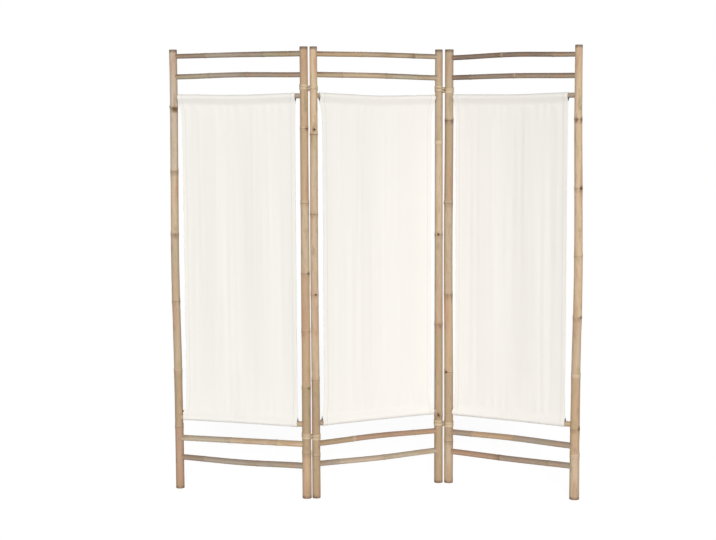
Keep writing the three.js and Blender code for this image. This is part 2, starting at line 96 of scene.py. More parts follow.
# Each rail: how far its two ends lie above its row, the rise of its middle, its diameters at both ends, its
# nodes, and the tone of each stretch from the left.
RAILS = {
    "left": {
        "top_rung": ([1, 1], 1, [19, 22.5], [142, 388], "umber greyed olive"),
        "second_rung": ([2, 2], 4, [21, 20], [158, 318], "olive greyed putty"),
        "upper_rod": ([3, 3], -5, [20, 20], [], "greyed"),
        "lower_rod": ([-2, -1], 1, [22, 22], [], "sand"),
        "third_rung": ([-7, 1], 0, [24, 24], [225, 431], "bone straw bright"),
        "bottom_rung": ([-5, -5], -5, [23, 25], [112, 346], "umber greyed greyed"),
    },
    "middle": {
        "top_rung": ([0, -1], 2, [20.5, 20.5], [207, 441], "honey sand bone"),
        "second_rung": ([3, -4], 2, [22, 21.5], [121, 319], "sand straw bone"),
        "upper_rod": ([4, -2], -7, [20, 20], [], "greyed"),
        "lower_rod": ([3, 4], 1, [22, 22], [], "greyed"),
        "third_rung": ([3, 3], 5, [23, 22], [163, 443], "dun reddened reddened"),
        "bottom_rung": ([3, 2], -4, [22.5, 22.5], [94, 302], "greyed ash bone"),
    },
    "right": {
        "top_rung": ([-6, -8], 6, [20.5, 19.5], [230, 452], "smoked smoked putty"),
        "second_rung": ([-3, -7], 3, [20, 21.5], [94, 287], "smoked umber putty"),
        "upper_rod": ([0, 0], -4, [20, 20], [], "greyed"),
        "lower_rod": ([0, 1], 1, [22, 22], [], "sand"),
        "third_rung": ([-2, -3], 4, [23.5, 25], [103, 303], "putty honey greyed"),
        "bottom_rung": ([-2, -2], -2, [24, 24], [233, 447], "reddened putty greyed"),
    },
}
# The rail nodes that are marked strongly, as for the posts.
MARKED_RAILS = {
    ("right", "top_rung"): {230: (1, 0.3, 0.6)}, ("right", "second_rung"): {287: (0.8, 0.3, 0.3)},
    ("middle", "top_rung"): {441: (0.5, 0.5, 0.7)}, ("middle", "third_rung"): {163: (0.7, 0.3, 0)},
    ("right", "bottom_rung"): {233: (0.3, 0.7, 0.5)},
}

# The profile of a node: (distance along the culm from it, height above the plain culm), for posts and rails.
POST_NODE = [(-20, 0), (-11, 0.1), (-5, 0.3), (-2, 0.75), (-0.8, 1.15), (0.1, 1.15), (0.8, 0.35), (2.5, 0.4),
             (5, 1.0), (7.5, 0.95), (12, 0.35), (20, 0)]
RAIL_NODE = [(-12, 0), (-4, 0.15), (-1.2, 0.55), (-0.4, 0.85), (0.2, 0.85), (0.7, 0.25), (2.2, 0.4), (4, 0.7),
             (7, 0.3), (12, 0)]

# The tones of dry bamboo skin, as paint colours of 0 to 255, and that of the weathered ends.
TONES = {
    "bright": (218, 191, 158), "straw": (207, 183, 154), "ash": (204, 184, 162), "honey": (199, 170, 138),
    "reddened": (187, 154, 130), "olive": (180, 167, 142), "greyed": (176, 162, 146), "umber": (164, 144, 127),
    "smoked": (148, 129, 115), "dun": (184, 159, 129), "sand": (196, 174, 146), "bone": (198, 184, 161),
    "putty": (173, 154, 137),
}
GREY_END = (118, 104, 90)
# What lies over the tones: patches, specks, the painted shade along the rungs' upper sides, and the marks of
# the nodes.
REDDISH_PATCH, GREENISH_PATCH, GREY_PATCH = (192, 146, 118), (176, 160, 116), (140, 122, 102)
# The second colour on the next line is painted shade for the rungs' upper sides.
SPECK, PAINTED_TOP_SHADE = (92, 66, 46), (98, 80, 68)
NODE_BLOOM, NODE_SMUDGE, NODE_LINE = (226, 206, 178), (112, 82, 54), (98, 72, 52)


# ---------------------------------------------------------------- the workbench

def paint(red, green, blue):
    """A paint colour, 0 to 255, as the linear colour that shaders take."""
    def linear(part):
        part /= 255
        return part / 12.92 if part <= 0.04045 else ((part + 0.055) / 1.055) ** 2.4
    return (linear(red), linear(green), linear(blue), 1)


def clear_bench():
    """Leaves edit mode and deselects everything."""
    if bpy.context.mode != "OBJECT":
        bpy.ops.object.mode_set(mode="OBJECT")
    bpy.ops.object.select_all(action="DESELECT")


def take_up(piece):
    """Makes this the one piece that is worked on."""
    clear_bench()
    piece.select_set(True)
    bpy.context.view_layer.objects.active = piece
    return piece


def set_down(piece):
    """Leaves the piece's place in its mesh, with its object at the origin."""
    take_up(piece)
    bpy.ops.object.transform_apply(location=True, rotation=True, scale=True)
    return piece


def stand_in_panel(piece, side):
    """Turns and moves a piece made in its panel's own measure to where that panel stands."""
    (x, y), yaw = STANDS[side]
    piece.rotation_euler = (0, 0, math.radians(yaw))
    piece.location = (x * MM, y * MM, 0)
    return set_down(piece)


def between(a, b, share):
    """The number that lies at this share of the way from a to b."""
    return a + (b - a) * share


def swell(share):
    """0 at either end of a span, 1 in its middle."""
    return math.sin(math.pi * min(max(share, 0), 1)) ** 2


def step_up(edge0, edge1, x):
    """0 up to the first edge, 1 from the second on, and eased between them."""
    share = min(max((x - edge0) / (edge1 - edge0), 0), 1)
    return share * share * (3 - 2 * share)


# ---------------------------------------------------------------- bamboo

POST_SIDES, RAIL_SIDES = 32, 20
POST_RINGS, RAIL_RINGS = 36, 24  # the most between two plain rings
END_RINGS = (4, 9, 15)  # closer rings near a post's ends, where it greys
SKIN_SLOT, SAWN_SLOT, SCAR_SLOT = 0, 1, 2  # a culm's finishes
RIM = 1.5  # how far the rounded rim of a sawn end reaches
# A sawn end's rings: (in from the cut, out from the bore), and then (in from the cut, in from the skin).
BORE_RINGS = ((40, 0), (1.2, 0), (0, 0.8))
SKIN_RINGS = ((0, 1), (0.4, 0.3))
RAIL_CHAMFER = (1, 0.8)  # a rail's end, in from its side and along it
SMOOTH_ANGLE = 42  # degrees between faces that are still shaded as one
SQUARE_ON = 0.9  # a face is square to a line from this cosine on

# A branch's groove: where it starts above its node and ends under the next, its depth, and the passes that
# press it, as (half its width in radians, share of the depth).
GROOVE_START, GROOVE_END, GROOVE_DEPTH = 14, 22, 0.9
PLAIN_HEAD = 20  # the highest groove ends under this much plain head, as if a node were there
GROOVE_PASSES = ((0.14, 0.45), (0.30, 0.3), (0.50, 0.25))
# The side that the first groove faces in degrees, the turn to the next, and how far chance turns each.
GROOVE_SIDE, GROOVE_TURN, GROOVE_SWING = 35, 180, 20

# A cut branch's stub: its sides, how far it stands out, how far its rim is drawn in, and its insets towards
# the heart, as (width as a share of its size, rise).
STUB_SIDES, STUB_STAND, STUB_RIM = 18, 1.9, 0.82
STUB_ROOT = 0.6  # its length, as a share of the culm's radius
STUB_INSETS = ((0.07, 0.3), (0.04, -0.2), (0.08, -1.2), (0.1, 0.3))
STUB_HEART = 1  # the inset from which on the stub is dark

# How a node's bloom, line and smudge lie along the culm: (full as far as, gone by, how far above the node).
MARK_REACH = ((2, 9, 3), (0.5, 2, 1.3), (4, 15, -3))
# How strong they are by chance where nothing is given: (least, most).
FAINT_MARKS = ((0, 0.5), (0.2, 0.6), (0, 0.45))
POST_MARKS, RAIL_MARKS = 1, 0.5  # how much of that posts and rails show
STUB_SMUDGE = (0.35, 0.85)  # full as far as and gone by, as shares of the stub's size
SMUDGE_STRETCH = 0.8  # a smudge round a stub is longer than wide
TONE_BLEND = 22  # how far to either side of a node one tone passes into the next
END_GREYING = (4, 17)  # a sawn end is grey as far as, and plain from
END_GREY_SHARE = 0.9


def post_radius(post, height):
    """A post's plain radius, without its nodes."""
    return between(post["foot"], post["head"], height / SCREEN_HEIGHT) / 2


def post_axis(post, height):
    """How far a post's middle lies along its panel, from the panel's left post."""
    outward = -1 if post["end"] == 0 else 1
    bow = post["bow"] * swell((height - BOW_FROM) / (BOW_TO - BOW_FROM))
    return post["end"] * PANEL_PITCH + outward * bow


def rail_height(side, row, x):
    """How high a rail's middle lies at this place along its panel."""
    (left, right), crown, _, _, _ = RAILS[side][row]
    return ROW_HEIGHT[row] + between(left, right, x / PANEL_PITCH) + crown * swell(x / PANEL_PITCH)


def rail_radius(side, row, x):
    """A rail's plain radius, without its nodes."""
    return between(*RAILS[side][row][2], x / PANEL_PITCH) / 2


def culm_rings(start, end, nodes, profile, spacing):
    """A culm's rings, with each node's profile and plain rings between: [(place along the culm, height above
    the plain culm)]."""
    low, high = profile[0][0], profile[-1][0]
    rings = [(node + step, rise) for node in nodes for step, rise in profile if start < node + step < end]
    rings += [(start, 0), (end, 0)]
    bare = [start] + [edge for node in sorted(nodes) for edge in (node + low, node + high)] + [end]
    for first, last in zip(bare[::2], bare[1::2]):
        count = int((last - first) / spacing)
        rings += [(between(first, last, (i + 1) / (count + 1)), 0) for i in range(count)]
    return sorted(set(rings))


def draw_culm(name, stations, sides, flat_axis):
    """Draws a closed culm ring by ring. Each station is (its middle, its radius), and flat_axis is the axis
    that the culm runs along."""
    clear_bench()
    middle, radius = stations[0]
    turn = (0, math.pi / 2, 0) if flat_axis == 0 else (0, 0, 0)
    bpy.ops.mesh.primitive_circle_add(vertices=sides, radius=radius, fill_type="NGON", location=middle,
                                      rotation=turn)
    culm = bpy.context.object
    culm.name = culm.data.name = name
    set_down(culm)
    bpy.ops.object.mode_set(mode="EDIT")
    bpy.ops.mesh.select_mode(type="FACE")
    bpy.ops.mesh.select_all(action="SELECT")
    for (here, size), (there, new_size) in zip(stations, stations[1:]):
        bpy.ops.mesh.extrude_region_move(TRANSFORM_OT_translate={"value": there - here})
        grow = [new_size / size] * 3
        grow[flat_axis] = 1
        bpy.ops.transform.resize(value=grow, center_override=there)
    bpy.ops.mesh.select_all(action="SELECT")
    bpy.ops.mesh.normals_make_consistent(inside=False)
    bpy.ops.object.mode_set(mode="OBJECT")
    return culm


def press_groove(culm, heights, middle_at, side_angle):
    """Presses the shallow groove that a branch leaves in the culm above its node."""
    take_up(culm)
    bpy.ops.object.mode_set(mode="EDIT")
    bpy.ops.mesh.select_mode(type="VERT")
    inward = Vector((-math.cos(side_angle), -math.sin(side_angle), 0))
    for reach, share in GROOVE_PASSES:
        shape = bmesh.from_edit_mesh(culm.data)
        for corner in shape.verts:
            x, y, z = corner.co
            angle = math.atan2(y, x - middle_at(z / MM) * MM)
            away = abs((angle - side_angle + math.pi) % (2 * math.pi) - math.pi)
            corner.select_set(heights[0] < z / MM < heights[1] and away < reach)
        shape.select_flush_mode()
        bmesh.update_edit_mesh(culm.data)
        if any(corner.select for corner in shape.verts):
            bpy.ops.transform.translate(value=inward * GROOVE_DEPTH * share * MM)
    bpy.ops.object.mode_set(mode="OBJECT")


def graft_stub(culm, middle, way, radius, size):
    """Sets the round stub of a cut branch into the culm, its heart sunken and dark."""
    out = Vector((math.cos(way), math.sin(way), 0))
    depth = radius * STUB_ROOT
    clear_bench()
    bpy.ops.mesh.primitive_cylinder_add(
        vertices=STUB_SIDES, radius=size / 2 * MM, depth=depth * MM, end_fill_type="NGON",
        location=middle + out * (radius + STUB_STAND - depth / 2) * MM, rotation=(0, math.pi / 2, way))
    stub = set_down(bpy.context.object)
    for finish in culm.data.materials:
        stub.data.materials.append(finish)
    bpy.ops.object.mode_set(mode="EDIT")
    bpy.ops.mesh.select_mode(type="FACE")
    bpy.ops.mesh.select_all(action="DESELECT")
    shape = bmesh.from_edit_mesh(stub.data)
    for face in shape.faces:
        face.select_set(face.normal.dot(out) > SQUARE_ON)
    shape.select_flush_mode()
    bmesh.update_edit_mesh(stub.data)
    bpy.ops.transform.resize(value=[STUB_RIM] * 3)
    stub.active_material_index = SCAR_SLOT
    for i, (width, rise) in enumerate(STUB_INSETS):
        bpy.ops.mesh.inset(thickness=width * size * MM, depth=rise * MM)
        if i == STUB_HEART:
            bpy.ops.object.material_slot_assign()
    bpy.ops.object.mode_set(mode="OBJECT")
    take_up(culm)
    stub.select_set(True)
    bpy.ops.object.join()


def marks_at(length, strengths):
    """How pale, lined and smudged the culm is at a place along it, from the strengths of its nodes."""
    marks = [0, 0, 0]
    for node, strong in strengths.items():
        for i, (full, gone, above) in enumerate(MARK_REACH):
            marks[i] = max(marks[i], strong[i] * (1 - step_up(full, gone, abs(length - node - above))))
    return marks


def stain(culm, along, middle_at, cross, nodes, tones, strengths, scars=(), end_length=None):
    """Keeps on the culm's points what its finish follows: the grain, the marks of its nodes, and its tone. The
    culm runs along one axis, and middle_at gives its middle on the cross axis."""
    for name, kind in (("grain", "FLOAT_VECTOR"), ("marks", "FLOAT_VECTOR"), ("tone", "FLOAT_COLOR")):
        culm.data.attributes.new(name, kind, "POINT")
    grain, marks, tone = (culm.data.attributes[name] for name in ("grain", "marks", "tone"))
    colours = [Vector(paint(*TONES[name])) for name in tones.split()]
    greyed = Vector(paint(*GREY_END))
    for corner in culm.data.vertices:
        place = corner.co / MM
        length = place[along]
        out = place[cross] - middle_at(length)
        grain.data[corner.index].vector = Vector((out, place[1], length)) * MM
        pale, line, smudge = marks_at(length, strengths)
        for way, height, size in scars:
            turned = (math.atan2(place[1], out) - math.radians(way) + math.pi) % (2 * math.pi) - math.pi
            away = math.hypot(turned * math.hypot(out, place[1]), (length - height) * SMUDGE_STRETCH)
            smudge = max(smudge, 1 - step_up(*(size * share for share in STUB_SMUDGE), away))
        marks.data[corner.index].vector = (pale, line, smudge)
        colour = colours[0]
        for node, following in zip(nodes, colours[1:]):
            colour = colour.lerp(following, step_up(-TONE_BLEND, TONE_BLEND, length - node))
        if end_length:
            from_end = min(length, end_length - length)
            colour = colour.lerp(greyed, END_GREY_SHARE * (1 - step_up(*END_GREYING, from_end)))
        tone.data[corner.index].color = colour


def node_strengths(nodes, marked, chance, share):
    """How strongly each node is marked: as given, or else faintly and by chance."""
    faint = {node: [chance.uniform(*span) * share for span in FAINT_MARKS] for node in nodes}
    return {**faint, **marked}


def finish_culm(culm, is_sawn):
    """Gives the sawn rims and the bores their own finish, and shades the culm smooth."""
    for face in culm.data.polygons:
        if is_sawn(face):
            face.material_index = SAWN_SLOT
    take_up(culm)
    bpy.ops.object.shade_smooth_by_angle(angle=math.radians(SMOOTH_ANGLE))
    return culm


def sawn_rim(bore, skin):
    """The rings of a sawn end, from in the bore to the skin: [(distance in from the cut, radius)]."""
    rim = [(inward, bore + out) for inward, out in BORE_RINGS]
    return rim + [(inward, skin - drop) for inward, drop in SKIN_RINGS]


def make_post(side, name, finishes, chance):
    """A post: hollow at head and foot down to its first node, with its bow, nodes, grooves and scars."""
    post = POSTS[side][name]
    nodes = post["nodes"]
    foot, head = post_radius(post, 0), post_radius(post, SCREEN_HEIGHT)
    foot_bore, head_bore = foot - CULM_WALL, head - CULM_WALL
    swings = [chance.uniform(-GROOVE_SWING, GROOVE_SWING) for _ in nodes]

    def middle(height):
        return Vector((post_axis(post, height), 0, height)) * MM

    rings = culm_rings(RIM, SCREEN_HEIGHT - RIM, nodes, POST_NODE, POST_RINGS)
    rings += [(height, 0) for low in END_RINGS for height in (low, SCREEN_HEIGHT - low)]
    outline = [(nodes[0] - DIAPHRAGM / 2, foot_bore)] + sawn_rim(foot_bore, foot)
    outline += [(height, post_radius(post, height) + rise) for height, rise in sorted(rings)]
    outline += [(SCREEN_HEIGHT - inward, radius) for inward, radius in sawn_rim(head_bore, head)[::-1]]
    outline.append((nodes[-1] + DIAPHRAGM / 2, head_bore))
    culm = draw_culm(name + "_culm", [(middle(height), radius * MM) for height, radius in outline],
                     POST_SIDES, 2)
    for finish in finishes:
        culm.data.materials.append(finish)
    for i, (node, above) in enumerate(zip(nodes, nodes[1:] + [SCREEN_HEIGHT - PLAIN_HEAD])):
        turn = math.radians(GROOVE_SIDE + GROOVE_TURN * (i % 2) + swings[i])
        press_groove(culm, (node + GROOVE_START, above - GROOVE_END), lambda z: post_axis(post, z), turn)
    for angle, height, size in post["scars"]:
        graft_stub(culm, middle(height), math.radians(angle), post_radius(post, height), size)
    stain(culm, 2, lambda z: post_axis(post, z), 0, nodes, post["tones"],
          node_strengths(nodes, post["marked"], chance, POST_MARKS), post["scars"], SCREEN_HEIGHT)

    def is_sawn(face):
        x, y, z = face.center / MM
        in_bore = math.hypot(x - post_axis(post, z), y) < post_radius(post, z) - CULM_WALL / 2
        in_rim = z < RIM or z > SCREEN_HEIGHT - RIM
        return face.material_index == SKIN_SLOT and (in_rim or in_bore)

    return finish_culm(culm, is_sawn)


def make_rail(side, row, finishes, chance):
    """A rung or a rod, its ends let into its two posts."""
    _, _, _, nodes, tones = RAILS[side][row]
    ends = []
    for post in POSTS[side].values():
        height = rail_height(side, row, post["end"] * PANEL_PITCH)
        inward = 1 if post["end"] == 0 else -1
        ends.append(post_axis(post, height) + inward * (post_radius(post, height) - RAIL_SEAT))
    start, end = ends

    def station(x, grown):
        return Vector((x, 0, rail_height(side, row, x))) * MM, (rail_radius(side, row, x) + grown) * MM

    stations = [station(start, -RAIL_CHAMFER[0])]
    stations += [station(x, rise) for x, rise in culm_rings(
        start + RAIL_CHAMFER[1], end - RAIL_CHAMFER[1], nodes, RAIL_NODE, RAIL_RINGS)]
    stations.append(station(end, -RAIL_CHAMFER[0]))
    culm = draw_culm(f"{side}_{row}_culm", stations, RAIL_SIDES, 0)
    for finish in finishes:
        culm.data.materials.append(finish)
    strengths = node_strengths(nodes, MARKED_RAILS.get((side, row), {}), chance, RAIL_MARKS)
    stain(culm, 0, lambda x: rail_height(side, row, x), 2, nodes, tones, strengths)
    return finish_culm(culm, lambda face: abs(face.normal.x) > SQUARE_ON)


# ---------------------------------------------------------------- cloth

CLOTH_EDGE_INSET = 36.5
CLOTH_SHIFT = {"left": -2, "middle": 1, "right": -7}
CLOTH_WIDTH = PANEL_PITCH - 2 * CLOTH_EDGE_INSET
CLOTH_THICKNESS = 0.9
POCKET_DEPTH = 38
POCKET_STAND = 1.7  # from a rod's surface to the pocket's edge at its crest
SEAM_FLAP = 7  # the turned edge under a pocket's seam
HEM_FADE = (16, 21)  # the cloth is double as far in from its side as, and single from
# How deeply each cloth is creased at its foot, in its bump and in the shade painted into its creases. At its
# head it is half that.
CREASED = {"left": 1.25, "middle": 0.45, "right": 1.0}
# How far the pockets' ends are drawn out along the rods past the sheet's sides: (at the left, at the right).
DRAWN_OUT = {"left": {"head": (14, 3), "foot": (11, 1)}, "middle": {"head": (13, 14), "foot": (10, 9)},
             "right": {"head": (7, 2), "foot": (7, 2)}}
DRAWN_FADE = 45  # how fast that fades up or down the sheet, as a power of e over its height
DRAWN_POWER = 6  # how closely it keeps to the sheet's sides, as a power of the way across
BROAD_FOLD = dict(depth=3, width=205, lean=30)
# The fine folds by chance: how many, and (least, most) of their place across, half width, depth, lowest and
# highest point as shares of the sheet's height, and drift across.
FINE_FOLDS = 26
FOLD_SPANS = ((40, CLOTH_WIDTH - 40), (4, 11), (-1.3, 1.3), (-0.2, 0.6), (0.5, 1.2), (-18, 18))
FOLD_FOOT, FOLD_TIP = (-0.15, 0.1), (-0.1, 0.15)  # how one starts and ends, round its lowest and highest point
FOLD_START = 40  # how fast the fine folds grow away from a seam, as a power of e
PLAIN_SIDE = 30  # how far in from its sides the sheet has no fine fold
# The pucker at the seams: its depth, its width, how it wanders across, and its fading and growing from a seam.
PUCKER_DEPTH, PUCKER_WIDTH = 1.1, 7.3
PUCKER_WANDER, PUCKER_DRIFT = 2.1, 31
PUCKER_FADE, PUCKER_START = 26, 200
SHEET_ROWS, SHEET_COLUMNS = 150, 84
WRAP_STEPS, LEG_STEPS = 20, 4  # the rows round a rod, and from there to the seam
POCKET_SHADE_REACH, POCKET_SHADE_HEART = 23, 9  # how far round a rod's middle the painted shade inside a pocket reaches, and how far from the rod's middle lies the point that the shaded inner faces look towards
CLOTH_SMOOTH_ANGLE = 50


def pocket_line(rod_radius, up):
    """The cloth's way from its free edge behind the sheet, round the rod and down to the seam, as (out of the
    panel, above the rod) places. The line of a pocket that hangs down is its mirror image."""
    turn = rod_radius + POCKET_STAND - CLOTH_THICKNESS / 2
    drop = POCKET_DEPTH - rod_radius - POCKET_STAND
    wrap = math.pi / 2 + math.asin(turn / drop)
    back = CLOTH_THICKNESS * 1.08  # just clear of the sheet in front of it
    line = [(back, -drop - SEAM_FLAP), (back, -drop - SEAM_FLAP / 2), (back, -drop)]
    tangent = (turn * math.sin(wrap), turn * math.cos(wrap))
    legs = [i / LEG_STEPS for i in range(1, LEG_STEPS)]
    line += [(between(back, tangent[0], share), between(-drop, tangent[1], share)) for share in legs]
    angles = [wrap - 2 * wrap * i / WRAP_STEPS for i in range(WRAP_STEPS + 1)]
    line += [(turn * math.sin(angle), turn * math.cos(angle)) for angle in angles]
    line += [(between(-tangent[0], 0, share), between(tangent[1], -drop, share)) for share in legs]
    line.append((0, -drop))
    return [(out, up * rise) for out, rise in line]


def cloth_fold(across, rise, folds):
    """How far the hanging cloth stands out: its broad folds, the fine ones, and the pucker at its seams."""
    drape = math.sqrt(math.sqrt(swell(rise) * swell(across / CLOTH_WIDTH)))
    wave = (across + BROAD_FOLD["lean"] * rise) / BROAD_FOLD["width"]
    out = BROAD_FOLD["depth"] * drape * math.sin(2 * math.pi * wave)
    inside = step_up(0, PLAIN_SIDE, across) * step_up(0, PLAIN_SIDE, CLOTH_WIDTH - across)
    seam = min(rise, 1 - rise)
    near = 1 - math.exp(-seam * FOLD_START)
    for spot, width, depth, low, high, drift in folds:
        here = spot + drift * (rise - 0.5)
        held = step_up(low + FOLD_FOOT[0], low + FOLD_FOOT[1], rise)
        held *= 1 - step_up(high + FOLD_TIP[0], high + FOLD_TIP[1], rise)
        out += depth * held * inside * near * math.exp(-((across - here) / width) ** 2)
    pucker = math.exp(-seam * PUCKER_FADE) * (1 - math.exp(-seam * PUCKER_START))
    ripple = math.sin(across / PUCKER_WIDTH + PUCKER_WANDER * math.sin(across / PUCKER_DRIFT))
    return out + PUCKER_DEPTH * pucker * inside * ripple


def cloth_line(side):
    """The cloth's way from its edge in the upper pocket to its edge in the lower one: [(out of the panel,
    height, share of the sheet's height)]."""
    head = pocket_line(rail_radius(side, "upper_rod", 0), 1)
    foot = pocket_line(rail_radius(side, "lower_rod", 0), -1)[::-1]
    top_seam = ROW_HEIGHT["upper_rod"] + head[-1][1]
    low_seam = ROW_HEIGHT["lower_rod"] + foot[0][1]
    line = [(out, rise + ROW_HEIGHT["upper_rod"], 1) for out, rise in head]
    for i in range(1, SHEET_ROWS):
        height = between(top_seam, low_seam, i / SHEET_ROWS)
        line.append((0, height, (height - low_seam) / (top_seam - low_seam)))
    return line + [(out, rise + ROW_HEIGHT["lower_rod"], 0) for out, rise in foot]


def paint_pocket_shade(cloth, side):
    """Paints shade inside the pockets: gives their inner faces the dark cotton that stands for it."""
    for face in cloth.data.polygons:
        x, _, height = face.center / MM
        for row, up in (("upper_rod", 1), ("lower_rod", -1)):
            rod = rail_height(side, row, x)
            inside = Vector((x, 0.3, rod - POCKET_SHADE_HEART * up)) * MM
            if abs(height - rod) < POCKET_SHADE_REACH and (inside - face.center).dot(face.normal) > 0:
                # This inner face gets the painted shade of the pocket's inside.
                face.material_index = 1


def make_cloth(side, cotton_finish, pocket_shade, chance):
    """A cotton cloth: one sheet turned over the rod at its head and the rod at its foot, and stitched."""
    line = cloth_line(side)
    lengths = [0]
    for (a, b, _), (c, d, _) in zip(line, line[1:]):
        lengths.append(lengths[-1] + math.hypot(c - a, d - b))
    left = CLOTH_EDGE_INSET + CLOTH_SHIFT[side]
    folds = [[chance.uniform(*span) for span in FOLD_SPANS] for _ in range(FINE_FOLDS)]

    clear_bench()
    bpy.ops.mesh.primitive_grid_add(x_subdivisions=SHEET_COLUMNS, y_subdivisions=len(line) - 1, size=2)
    cloth = bpy.context.object
    cloth.name = cloth.data.name = f"{side}_cotton_cloth"
    spots = []
    for corner in cloth.data.vertices:
        across = round((corner.co.x + 1) / 2 * SHEET_COLUMNS) / SHEET_COLUMNS * CLOTH_WIDTH
        spots.append((across, round((1 - corner.co.y) / 2 * (len(line) - 1))))
    flat = cloth.data.uv_layers.active
    flat.name = "flat"
    for loop in cloth.data.loops:
        across, row = spots[loop.vertex_index]
        flat.data[loop.index].uv = (across * MM, (lengths[-1] - lengths[row]) * MM)
    creased = cloth.data.attributes.new("creased", "FLOAT", "POINT")
    for point, (_, row) in zip(creased.data, spots):
        point.value = CREASED[side] * (1 - 0.5 * line[row][2])
    hem = cloth.vertex_groups.new(name="hem")
    for corner, (across, row) in zip(cloth.data.vertices, spots):
        out, height, rise = line[row]
        pull = [DRAWN_OUT[side]["head"][end] * math.exp(-(1 - rise) * DRAWN_FADE)
                + DRAWN_OUT[side]["foot"][end] * math.exp(-rise * DRAWN_FADE) for end in (0, 1)]
        slack = 1 - across / CLOTH_WIDTH
        x = left + across - pull[0] * slack ** DRAWN_POWER + pull[1] * (1 - slack) ** DRAWN_POWER
        sag = between(rail_height(side, "lower_rod", x) - ROW_HEIGHT["lower_rod"],
                      rail_height(side, "upper_rod", x) - ROW_HEIGHT["upper_rod"], rise)
        stand = out + (cloth_fold(across, rise, folds) if 0 < rise < 1 else 0)
        corner.co = Vector((x, stand, height + sag)) * MM
        edge = min(across, CLOTH_WIDTH - across)
        hem.add([corner.index], 1 - 0.5 * step_up(*HEM_FADE, edge), "REPLACE")
    take_up(cloth)
    bpy.ops.object.mode_set(mode="EDIT")
    bpy.ops.mesh.select_all(action="SELECT")
    bpy.ops.mesh.normals_make_consistent(inside=False)
    bpy.ops.object.mode_set(mode="OBJECT")
    body = cloth.modifiers.new("body", "SOLIDIFY")
    body.thickness = 2 * CLOTH_THICKNESS * MM  # the hem is two layers thick, the rest half of that
    body.offset = 0
    body.vertex_group = "hem"
    body.thickness_vertex_group = 0
    bpy.ops.object.modifier_apply(modifier=body.name)
    bpy.ops.object.shade_smooth_by_angle(angle=math.radians(CLOTH_SMOOTH_ANGLE))
    cloth.data.materials.append(cotton_finish)
    # The second finish is the painted shade inside the pockets.
    cloth.data.materials.append(pocket_shade)
    paint_pocket_shade(cloth, side)
    return cloth


# ---------------------------------------------------------------- strap hinges

STRAPS = ("left_upper_strap", "left_lower_strap", "right_upper_strap", "right_lower_strap")
WELD = 0.02  # points nearer than this are one
QUAD_ANGLE = 60  # degrees that two triangles of one quad may differ by


def make_strap(node, cane):
    """A lashing of split cane, wound twice round both posts in a figure of eight, from the CAD band."""
    clear_bench()
    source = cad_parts[node]
    strap = source.copy()
    strap.data = source.data.copy()
    for mark in [key for key in strap.keys() if key.startswith("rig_")]:
        del strap[mark]
    bpy.context.collection.objects.link(strap)
    strap.parent = None
    strap.name = strap.data.name = node + "_cane"
    take_up(strap)
    bpy.ops.object.mode_set(mode="EDIT")
    bpy.ops.mesh.select_all(action="SELECT")
    bpy.ops.mesh.remove_doubles(threshold=WELD * MM)
    bpy.ops.mesh.tris_convert_to_quads(face_threshold=math.radians(QUAD_ANGLE),
                                       shape_threshold=math.radians(QUAD_ANGLE))
    bpy.ops.mesh.faces_shade_smooth()
    bpy.ops.object.mode_set(mode="OBJECT")
    round_off = strap.modifiers.new("round_off", "SUBSURF")
    round_off.levels = round_off.render_levels = 2
    bpy.ops.object.modifier_apply(modifier=round_off.name)
    strap.data.materials.clear()
    strap.data.materials.append(cane)
    return strap


# ---------------------------------------------------------------- finishes

WHITE = (1, 1, 1, 1)
WARP_PITCH, WEFT_PITCH = 1.1, 1.2
STITCH_PITCH, STITCH_INSET = 3.4, 17  # along a hem, and from the cloth's side
STITCH_FADE = (0.5, 1.5)  # a stitch is full as far from its line as, and gone by
HEM_STEP = (18, 20.5)  # where the hem's fold steps down to the single cloth, in from the side


class Wire:
    """A shader socket that is worked with as a number."""

    def __init__(self, wiring, socket):
        self.wiring, self.socket = wiring, socket

    def maths(self, operation, *others):
        return self.wiring.node("ShaderNodeMath", {"operation": operation}, [self, *others])

    def __add__(self, other):
        return self.maths("ADD", other)

    __radd__ = __add__

    def __sub__(self, other):
        return self.maths("SUBTRACT", other)

    def __rsub__(self, other):
        return self.wiring.node("ShaderNodeMath", {"operation": "SUBTRACT"}, [other, self])

    def __mul__(self, other):
        return self.maths("MULTIPLY", other)

    __rmul__ = __mul__

    def __abs__(self):
        return self.maths("ABSOLUTE")

    def sine(self):
        return self.maths("SINE")

    def least(self, other):
        return self.maths("MINIMUM", other)


class Wiring:
    """A node tree, in which nodes are made and joined by one method."""

    def __init__(self, tree):
        self.tree = tree

    def node(self, kind, settings=None, inputs=None, out=0):
        """A node of this kind, its settings made first, then its sockets by place or by name."""
        node = self.tree.nodes.new(kind)
        for key, value in (settings or {}).items():
            setattr(node, key, value)
        pairs = inputs.items() if isinstance(inputs, dict) else enumerate(inputs or [])
        for key, value in pairs:
            if isinstance(value, Wire):
                self.tree.links.new(value.socket, node.inputs[key])
            else:
                node.inputs[key].default_value = value
        return Wire(self, node.outputs[out])

    def parts(self, vector):
        """The three numbers of a vector."""
        first = self.node("ShaderNodeSeparateXYZ", None, [vector])
        return [Wire(self, output) for output in first.socket.node.outputs]

    def ray(self, kind):
        """1 for rays of this kind, 0 for the others."""
        return self.node("ShaderNodeLightPath", out=f"Is {kind} Ray")

    def show(self, share, below, above, output):
        """Puts one shader over another, by its share, on the tree's output."""
        mixed = self.node("ShaderNodeMixShader", None, [share, below, above])
        self.tree.links.new(mixed.socket, self.tree.nodes[output].inputs["Surface"])


